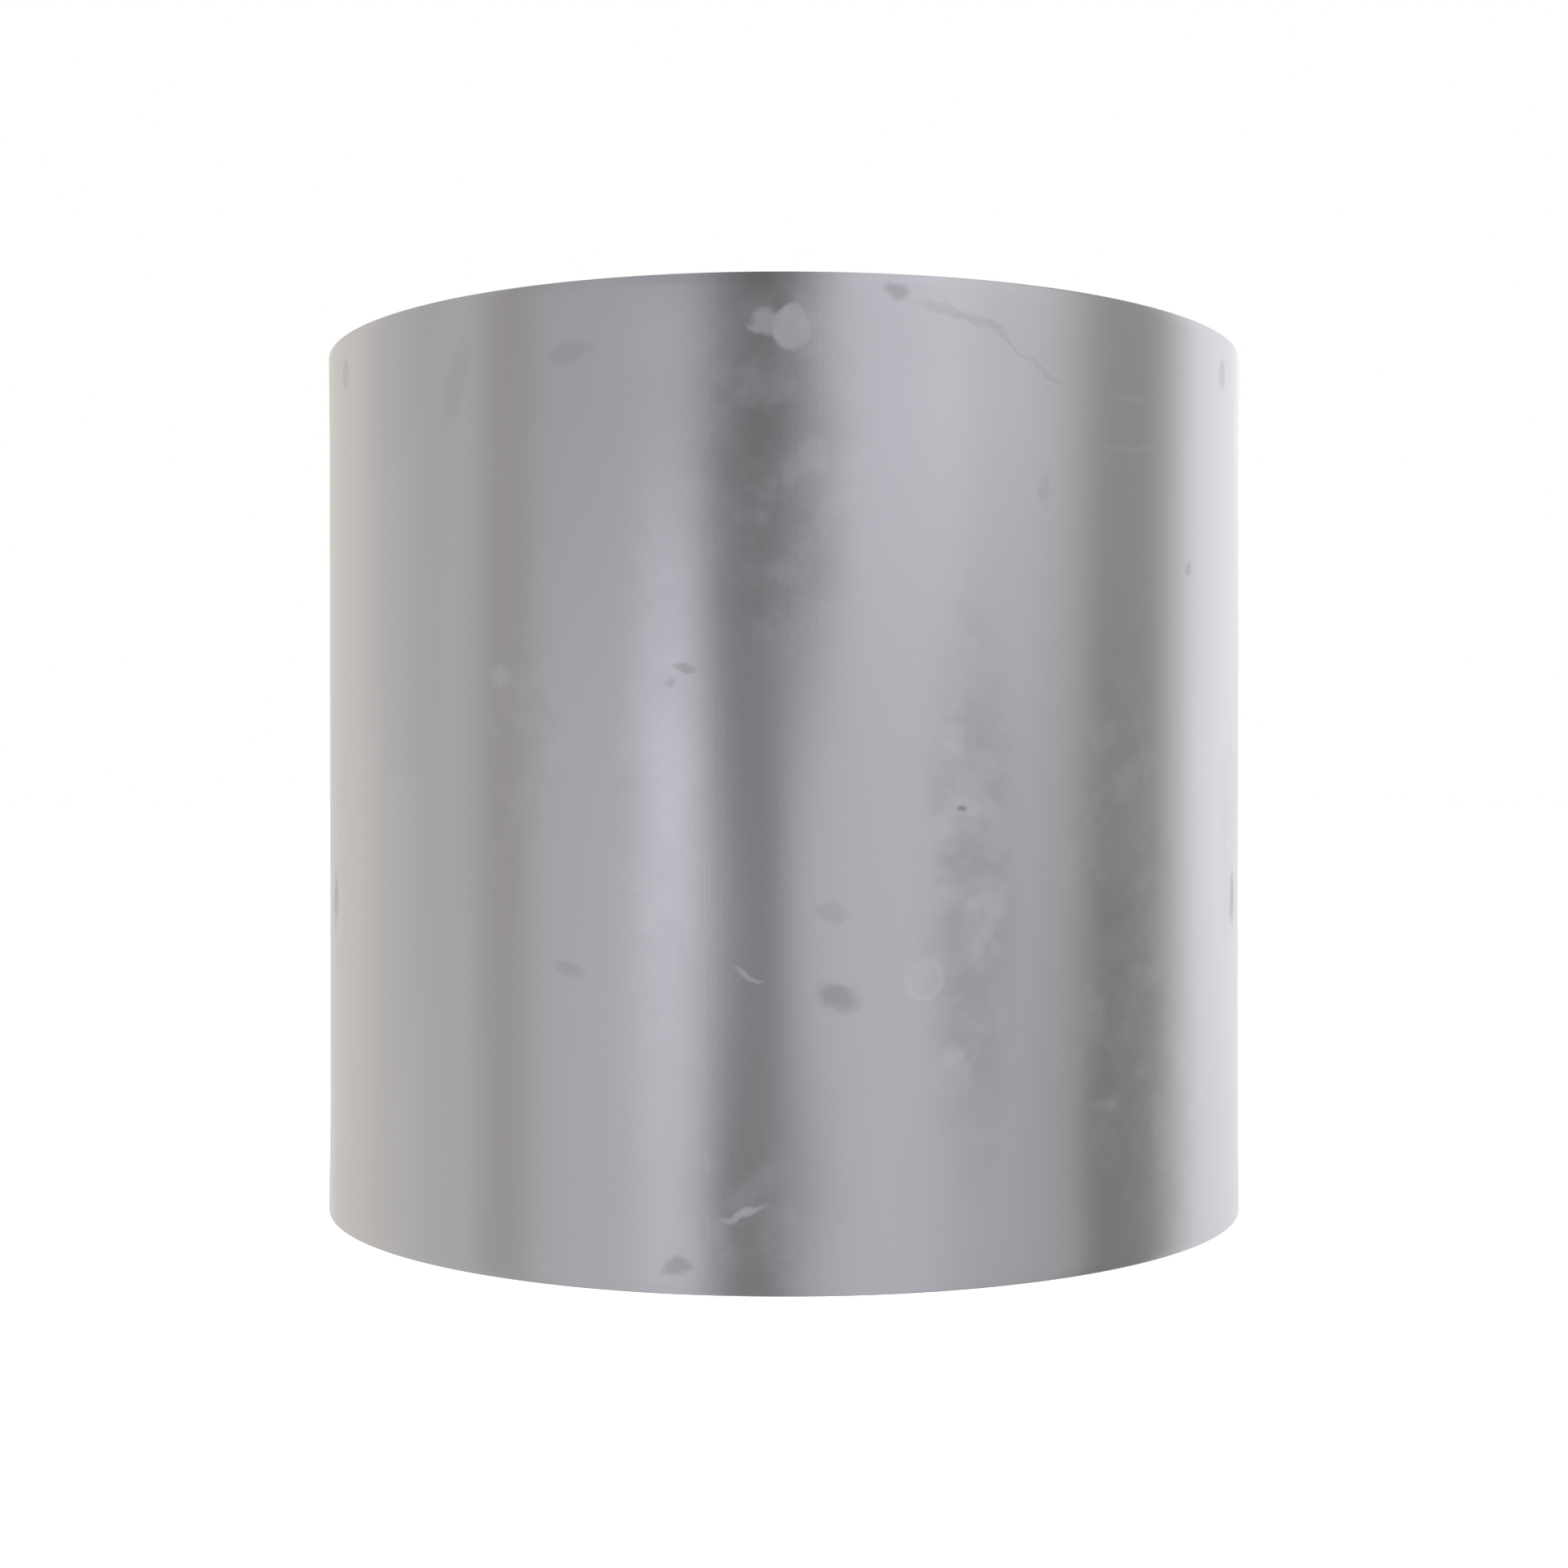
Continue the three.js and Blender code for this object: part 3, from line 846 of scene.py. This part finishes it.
ring_look = ("ring_tinplate_look", spun_tin, 0.31, LEDGE)
finish_piece(inner_ring(), "tin", "ring_tinplate", "top_ring", *ring_look)

# %% [markdown]
# ## The lid
# The lid is a pan pressed from one disc. Its edge is curled under into a bead that rests on the ring's
# ledge and gives a coin something to lift by. The wall of the pan plugs the mouth, with a rolled groove
# that holds the gasket, and the rings pressed in its floor keep the thin sheet from drumming. The
# outline has true bends, because the bends are what catches the light.

# %% The lid
CURL_RADIUS = 0.75 * MM
CURL_WRAP = (185, 450)  # degrees round the curl, from its hidden end to its top
SLIDE = 0.15 * MM
GROOVE_DEPTH = 0.65 * MM
GROOVE_SLOPE = 0.3 * MM
GROOVE_FROM = LEDGE - 3.6 * MM
GROOVE_TO = LEDGE - 0.2 * MM
# Half the width of a bead's top, the width of its slope, and its bends.
LID_BEAD_SHAPE = (0.6 * MM, 1.3 * MM, 0.9 * MM)
BASE_BEAD_SHAPE = (0.7 * MM, 1.3 * MM, 0.9 * MM)
STEEP_BEAD_SHAPE = (0.7 * MM, 0.7 * MM, 0.9 * MM)
LID_BEAD = (31.5 * MM, 0.7 * MM)
LID_CENTRE = (25.0 * MM, 0.8 * MM)
INNER_BEAD = (12.0 * MM, 0.25 * MM)

plug_inside = MOUTH_RADIUS - SLIDE - SHEET
pan_floor = lid_low.z + SHEET


def bead(radius, floor, rise, half_top, slope, bend):
    """The corners of a ring in a flat panel, raised or sunk, from its outer to its inner side."""
    return [
        (radius + half_top + slope, floor, bend),
        (radius + half_top, floor + rise, bend),
        (radius - half_top, floor + rise, bend),
        (radius - half_top - slope, floor, bend),
    ]


def press_lid():
    curl_centre = (lid_high.x - CURL_RADIUS, lid_high.z - CURL_RADIUS)
    groove_inside = plug_inside - GROOVE_DEPTH
    bead_radius, bead_rise = LID_BEAD
    centre_radius, centre_rise = LID_CENTRE
    centre_top = pan_floor + centre_rise
    corners = [
        (curl_centre[0] - 0.1 * MM, lid_high.z, 0),
        (plug_inside, lid_high.z, 0.6 * MM),
        (plug_inside, GROOVE_TO, 0.15 * MM),
        (groove_inside, GROOVE_TO - GROOVE_SLOPE, 0.35 * MM),
        (groove_inside, GROOVE_FROM + GROOVE_SLOPE, 0.35 * MM),
        (plug_inside, GROOVE_FROM, 0.15 * MM),
        (plug_inside, pan_floor, 0.35 * MM),
        *bead(bead_radius, pan_floor, bead_rise, *LID_BEAD_SHAPE),
        (centre_radius + 0.8 * MM, pan_floor, 0.8 * MM),
        (centre_radius, centre_top, 0.8 * MM),
        *bead(INNER_BEAD[0], centre_top, -INNER_BEAD[1], *STEEP_BEAD_SHAPE),
        (0, centre_top, 0),
    ]
    curl = arc(curl_centre, CURL_RADIUS, *CURL_WRAP, 24)
    return turned("press_lid", sheet([*curl, *rounded(corners)], SHEET))


lid_look = ("lid_tinplate_look", spun_tin, 0.83, lid_high.z)
finish_piece(press_lid(), "lid", "lid_tinplate", "lid_pan", *lid_look)

# %% [markdown]
# ## The gasket
# A soft ring in the lid's groove seals the tin and gives the lid its grip. It is milky silicone, moulded
# with two thin lips. Silicone lets some light in before it scatters it back, so its finish does too,
# under a fine film of dust.

# %% The gasket
LIP_HALF = 0.28 * MM
LIP_REACH = 0.34 * MM
GASKET_GAP = 0.05 * MM

gasket_low, gasket_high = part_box("lid_gasket")


def gasket():
    inside = plug_inside - GROOVE_DEPTH + SHEET + GASKET_GAP
    lip = gasket_high.x
    valley = lip - LIP_REACH
    low, high = gasket_low.z, gasket_high.z
    bend = 0.1 * MM
    corners = [(inside, low, 0), (valley, low, bend)]
    for middle in (low + LIP_HALF * 1.3, high - LIP_HALF * 1.3):
        corners += [
            (valley, middle - LIP_HALF, bend),
            (lip, middle, bend),
            (valley, middle + LIP_HALF, bend),
        ]
    corners += [(valley, high, bend), (inside, high, 0)]
    return turned("gasket", rounded(corners, 4))


def silicone(tree):
    place = on_object(tree)
    dust = fade(tree, noise_at(tree, place, 900, 5.0, 0.65), 0.5, 0.72)
    cloud = noise_at(tree, place, 160, 3.0)
    colour = mix(tree, cloud, (0.70, 0.72, 0.71), (0.80, 0.81, 0.79))
    colour = mix(tree, times(tree, dust, 0.5), colour, (0.86, 0.85, 0.81))
    rough = plus(tree, times(tree, dust, 0.25), 0.36)
    normal = bumped(tree, dust, 0.01 * MM)
    surface(tree, colour, rough, normal, cloudy(0.35, (1.0, 1.0, 0.9), 0.8 * MM))


finish_piece(gasket(), "lid", "gasket_silicone", "lid_gasket", "milky_silicone", silicone)

# %% [markdown]
# ## The base
# The base is a shallow dish pressed up from below, so that the tin stands on its folded foot and not on
# the middle of a thin disc. Its edge stands up inside the wall and sits in a bead of sealing compound
# on the foot, because melted wax finds every gap. The compound is a dull rubbery grey, laid from a
# nozzle, so its edge wavers a little.

# %% The base plate and its seal
BASE_EDGE_FLOOR = 0.9 * MM
BASE_FLOOR = 2.3 * MM
BASE_PANEL_RADIUS = 40.4 * MM
BASE_BEAD_RADIUS = 30.0 * MM
BASE_BEAD_DEPTH = 0.7 * MM
BASE_STEP_RADIUS = 16.0 * MM
BASE_STEP_DEPTH = 0.25 * MM
SEAL_SHOULDER = 0.3 * MM
SEAL_BULGE = 0.02 * MM
SEAL_WAVER = 0.05 * MM
SEAL_WAVES = ((7, 0.4), (19, 2.2), (43, 5.0))

base_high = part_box("base_plate")[1]
seal_low, seal_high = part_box("base_seal")


def base_disc():
    edge_inside = base_high.x - SHEET
    corners = [
        (edge_inside, base_high.z, 0),
        (edge_inside, BASE_EDGE_FLOOR, 0.4 * MM),
        (BASE_PANEL_RADIUS + 0.8 * MM, BASE_EDGE_FLOOR, 0.4 * MM),
        (BASE_PANEL_RADIUS, BASE_FLOOR, 0.5 * MM),
        *bead(BASE_BEAD_RADIUS, BASE_FLOOR, -BASE_BEAD_DEPTH, *BASE_BEAD_SHAPE),
        *bead(BASE_STEP_RADIUS, BASE_FLOOR, -BASE_STEP_DEPTH, *STEEP_BEAD_SHAPE),
        (0, BASE_FLOOR, 0),
    ]
    return turned("base_disc", sheet(rounded(corners), SHEET))


def seal_waver(angle, radius, height):
    inner = radius < (seal_high.x + FOOT_INSIDE) / 2
    waver = sum(np.sin(k * angle + start) for k, start in SEAL_WAVES) / len(SEAL_WAVES)
    return radius + inner * SEAL_WAVER * waver, height


def seal_ring():
    low, high = seal_low.z, seal_high.z
    inside, outside = FOOT_INSIDE + 0.17 * MM, seal_high.x
    shoulder = inside + SEAL_SHOULDER
    bulge = (inside - SEAL_BULGE, (low + high) / 2, 0.1 * MM)
    edge = rounded([(shoulder, high, 0), bulge, (shoulder, low, 0)])
    return turned("seal_ring", [*edge, (outside, low), (outside, high)], shape=seal_waver)


def compound(tree):
    place = on_object(tree)
    lumps = noise_at(tree, place, 500, 5.0, 0.6)
    colour = mix(tree, lumps, (0.085, 0.085, 0.08), (0.17, 0.168, 0.16))
    rough = plus(tree, times(tree, lumps, 0.2), 0.5)
    surface(tree, colour, rough, bumped(tree, lumps, 0.08 * MM))


base_look = ("base_tinplate_look", spun_tin, 0.57, base_high.z)
finish_piece(base_disc(), "tin", "base_tinplate", "base_plate", *base_look)
finish_piece(seal_ring(), "tin", "sealing_compound", "base_seal", "grey_sealing_compound", compound)

# %% [markdown]
# ## The wick's foot
# The wick is held by a stamped disc with a neck that is crimped round it, and a foam pad glues the disc
# to the base. Both end up under the wax. Ribs pressed into the disc keep it flat, and the four dents of
# the crimp grip the braid, so the turned outline is pushed in and out as it goes round.

# %% The pad and the sustainer
RIBS = 6
RIB_RISE = 0.16 * MM
RIB_SPAN = ((3.0 * MM, 4.0 * MM), (9.0 * MM, 8.0 * MM))  # each end: level, then full
CRIMPS = 4
CRIMP_DEPTH = 0.14 * MM
CRIMP_PITCH = 2.2 * MM
CRIMP_FROM = (1.6 * MM, 2.4 * MM)  # up from the disc: none, then full
NECK_RADIUS = 1.6 * MM
NECK_BEND = 0.25 * MM
FOOT_SHEET = 0.25 * MM
PAD_BEND = 0.08 * MM
ZINC_COLOUR = (0.62, 0.635, 0.65)

pad_low, pad_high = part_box("wick_sticker")
foot_low, foot_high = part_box("wick_sustainer")


def wick_pad():
    edge = pad_high.x
    side = [(edge, pad_low.z, PAD_BEND), (edge, pad_high.z, PAD_BEND)]
    corners = [(0, pad_low.z, 0), *side, (0, pad_high.z, 0)]
    return turned("wick_pad", rounded(corners, 3))


def foot_shape(angle, radius, height):
    """Raises the ribs of the disc and dents the neck where it is crimped."""
    inner, outer = RIB_SPAN
    across = soft_step(radius, *inner) * soft_step(radius, *outer)
    rib = np.clip(np.cos(RIBS * angle), 0, 1) ** 3
    up_neck = soft_step(height, *(foot_low.z + start for start in CRIMP_FROM))
    rows = 0.6 + 0.4 * np.cos(height * math.tau / CRIMP_PITCH)
    dents = np.clip(np.cos(CRIMPS * angle), 0, 1) ** 2 * rows
    on_neck = radius < 2 * MM
    return radius - on_neck * up_neck * dents * CRIMP_DEPTH, height + across * rib * RIB_RISE


def wick_foot():
    disc_top = foot_low.z + FOOT_SHEET
    disc = [(r * MM, disc_top, 0) for r in np.arange(9.5, 2.9, -0.5)]
    neck = [(NECK_RADIUS, z, 0) for z in np.arange(disc_top + 1 * MM, foot_high.z, 0.4 * MM)]
    line = rounded([(foot_high.x, disc_top, 0), *disc, (NECK_RADIUS, disc_top, NECK_BEND), *neck])
    return turned("wick_foot", sheet(line, FOOT_SHEET), shape=foot_shape)


def foam(tree):
    place = on_object(tree)
    cells = node(tree, "TexVoronoi", {"Vector": place, "Scale": 2600.0}, out="Distance")
    tint = noise_at(tree, place, 300)
    colour = mix(tree, tint, (0.78, 0.76, 0.70), (0.86, 0.84, 0.78))
    surface(tree, colour, 0.85, bumped(tree, cells, 0.06 * MM))


def zinc_plate(tree):
    place = on_object(tree)
    crystals = node(tree, "TexVoronoi", {"Vector": place, "Scale": 900.0}, out="Color")
    crystal, _, _ = split(tree, crystals)
    tone_change, rough_change, grain = mottle(tree, place)
    tone = plus(tree, plus(tree, times(tree, crystal, 0.12), 0.9), tone_change)
    rough = plus(tree, plus(tree, times(tree, crystal, 0.1), 0.26), rough_change)
    normal = bumped(tree, grain, SPUN_RELIEF)
    metal(tree, tone, rough, normal, ZINC_COLOUR)


finish_piece(wick_pad(), "tin", "sticker_foam", "wick_sticker", "white_foam", foam)
finish_piece(wick_foot(), "tin", "sustainer_tinplate", "wick_sustainer", "plated_wick_foot", zinc_plate)

# %% [markdown]
# ## The wick
# A candle's wick is a braid of cotton over a core, primed with wax so that it stands. Four strands run
# round one way and four the other, each passing over one and under the next. A strand is a tube along
# a helix whose radius swings in and out, once for every two crossings.

# %% The wick
STRANDS_EACH_WAY = 4
STRAND_RADIUS = 0.36 * MM
BRAID_RADIUS = 0.8 * MM
BRAID_SWING = 0.13 * MM
BRAID_PITCH = 9.0 * MM
STRAND_STEP = 0.4 * MM
STRAND_SIDES = 8
CORE_RADIUS = 0.4 * MM
# The strands are cut a little unevenly: the least below the top, and one step of four.
CUT_LEAST = 0.12 * MM
CUT_STEP = 0.14 * MM

wick_low, wick_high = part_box("wick")


def tube_rings(centres, radii, sides):
    """Rings of points round a line of centres."""
    along = np.gradient(centres, axis=0)
    along /= np.linalg.norm(along, axis=1)[:, None]
    side = np.cross(along, (0.31, 0.83, 0.46))
    side /= np.linalg.norm(side, axis=1)[:, None]
    other = np.cross(along, side)
    a = np.arange(sides) * math.tau / sides
    spokes = np.cos(a)[None, :, None] * side[:, None] + np.sin(a)[None, :, None] * other[:, None]
    return centres[:, None] + spokes * radii[:, None, None]


def add_tube(points, faces, centres, radii, sides):
    """Adds a closed tube to lists of points and faces."""
    first = len(points)
    rings = tube_rings(centres, radii, sides)
    points += rings.reshape(-1, 3).tolist()
    for i in range(len(centres) - 1):
        for k in range(sides):
            here = first + i * sides
            ahead = (k + 1) % sides
            faces.append((here + k, here + ahead, here + sides + ahead, here + sides + k))
    faces.append(tuple(first + k for k in reversed(range(sides))))
    faces.append(tuple(first + (len(centres) - 1) * sides + k for k in range(sides)))


def blunt(steps, radius):
    """Radii along a tube whose last two steps round off."""
    radii = np.full(steps, radius)
    radii[-2:] *= (0.85, 0.45)
    return radii


def braided_wick():
    points, faces = [], []
    bottom = wick_low.z + 0.05 * MM
    for way in (1, -1):
        for k in range(STRANDS_EACH_WAY):
            cut = wick_high.z - CUT_LEAST - CUT_STEP * ((3 * k + way) % 4)
            z = np.append(np.arange(bottom, cut - 0.1 * MM, STRAND_STEP), cut)
            travel = z * math.tau / BRAID_PITCH
            angle = way * travel + k * math.tau / STRANDS_EACH_WAY
            reach = BRAID_RADIUS + way * BRAID_SWING * np.cos(STRANDS_EACH_WAY * travel)
            centres = np.stack([reach * np.cos(angle), reach * np.sin(angle), z], axis=1)
            add_tube(points, faces, centres, blunt(len(z), STRAND_RADIUS), STRAND_SIDES)
    z = np.arange(bottom, wick_high.z - 0.4 * MM, 2 * STRAND_STEP)
    centres = np.stack([0 * z, 0 * z, z], axis=1)
    add_tube(points, faces, centres, blunt(len(z), CORE_RADIUS), STRAND_SIDES)
    mesh = bpy.data.meshes.new("braided_wick")
    mesh.from_pydata(points, [], faces)
    mesh.shade_smooth()
    return add_object("braided_wick", mesh)


def waxed_cotton(tree):
    place = on_object(tree)
    fibres = noise_at(tree, vectors(tree, "MULTIPLY", place, (1.0, 1.0, 0.3)), 9000, 3.0, 0.6)
    tint = noise_at(tree, place, 700, 3.0)
    colour = mix(tree, tint, (0.80, 0.70, 0.52), (0.90, 0.83, 0.68))
    colour = mix(tree, times(tree, fibres, 0.5), colour, (0.94, 0.90, 0.80))
    rough = plus(tree, times(tree, tint, 0.25), 0.5)
    normal = bumped(tree, fibres, 0.03 * MM)
    soft = cloudy(0.6, (1.0, 0.8, 0.55), 1.2 * MM)
    surface(tree, colour, rough, normal, {**soft, "Sheen Weight": 0.15})


finish_piece(braided_wick(), "tin", "wick_cotton", "wick", "waxed_cotton", waxed_cotton)

# %% [markdown]
# ## The wax
# Poured wax sets from the wall inwards. It climbs a little at the wall and at the wick, sinks slightly
# round the wick as the last of it shrinks, and its top frosts in pale patches. It is also cloudy: light
# goes in a few millimetres and comes out warmer. So the top is a formula, with a climb at each side and
# a low wave, and the finish scatters light below the surface.

# %% The wax
WAX_CLIMB = 0.6 * MM
CLIMB_LENGTH = 0.75 * MM
SINK_DEPTH = 0.16 * MM
SINK_RADIUS = 6.0 * MM
WAX_GAP = 0.1 * MM
WAX_SOAK = 0.15 * MM  # how far the wax reaches into the braid
WAX_RADIUS = TIN_RADIUS - SHEET - 0.02 * MM
WAVE_HEIGHT = 0.04 * MM
WAVE_TOP = 1.5  # the highest value of the wave's formula
STILL_EDGE = 3 * MM

wax_low, wax_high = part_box("wax_fill")
wax_level = wax_high.z - WAX_CLIMB


def wax_shape(angle, radius, height):
    """A low uneven wave on the top of the wax, and its side moulded to the wall."""
    on_top = soft_step(height, wax_level - 0.3 * MM, wax_level - 0.2 * MM)
    x, y = radius * np.cos(angle) / MM, radius * np.sin(angle) / MM
    wave = np.sin(0.21 * x + 0.6) * np.sin(0.17 * y + 1.9) + 0.5 * np.sin(0.43 * x - 0.31 * y)
    still = soft_step(radius, wick_high.x, 4 * MM)
    still *= soft_step(radius, WAX_RADIUS, WAX_RADIUS - STILL_EDGE)
    at_wall = radius > WAX_RADIUS - 0.5 * WAX_GAP
    moulded = wall_push(angle, height) - lap_rise(angle, height)
    return radius + at_wall * moulded, height + on_top * still * (wave - WAVE_TOP) * WAVE_HEIGHT


def wax_body():
    wick_hole = wick_high.x - WAX_SOAK
    neck_hole = NECK_RADIUS + WAX_GAP
    foot_hole = foot_high.x + WAX_GAP
    edge = base_high.x - SHEET - WAX_GAP
    above_edge = base_high.z + WAX_GAP
    above_foot = foot_low.z + FOOT_SHEET + RIB_RISE + WAX_GAP
    fine, coarse = np.arange(0, 4, 0.2) * MM, np.arange(4, 39, 1.5) * MM
    across = WAX_RADIUS - wick_hole
    radii = WAX_RADIUS - np.concatenate([fine, coarse, across - fine[::-1]])
    from_wall, from_wick = WAX_RADIUS - radii, radii - wick_hole
    climb = np.exp(-from_wall / CLIMB_LENGTH) + np.exp(-from_wick / CLIMB_LENGTH)
    sink = np.exp(-((radii / SINK_RADIUS) ** 2)) * (1 - np.exp(-from_wick / CLIMB_LENGTH))
    top = list(zip(radii, wax_level + WAX_CLIMB * climb - SINK_DEPTH * sink))
    side = [(WAX_RADIUS, z) for z in np.arange(above_edge, wax_level, 2 * MM)]
    outline = [
        (foot_hole, wax_low.z),
        (edge, wax_low.z),
        (edge, above_edge),
        *side,
        *top,
        (wick_hole, foot_high.z + WAX_GAP),
        (neck_hole, foot_high.z + WAX_GAP),
        (neck_hole, above_foot),
        (foot_hole, above_foot),
    ]
    return turned("wax_body", outline, wall_angles(), wax_shape)


def creamy_wax(tree):
    place = on_object(tree)
    cloud = noise_at(tree, place, 38, 4.0, 0.5, 0.6)
    frost = fade(tree, noise_at(tree, place, 120, 7.0, 0.62, 1.0), 0.46, 0.66)
    pores = node(tree, "TexVoronoi", {"Vector": place, "Scale": 420.0}, out="Distance")
    pits = fade(tree, pores, 0.16, 0.05)
    colour = mix(tree, cloud, (0.78, 0.66, 0.47), (0.86, 0.77, 0.60))
    colour = mix(tree, times(tree, frost, 0.35), colour, (0.90, 0.85, 0.74))
    rough = plus(tree, times(tree, frost, 0.25), 0.34)
    height = plus(tree, times(tree, frost, 0.3), cloud)
    height = minus(tree, height, times(tree, pits, 0.5))
    normal = bumped(tree, height, 0.07 * MM)
    surface(tree, colour, rough, normal, cloudy(0.6, (1.0, 0.7, 0.45), 4 * MM))


finish_piece(wax_body(), "tin", "wax", "wax_fill", "creamy_wax", creamy_wax)
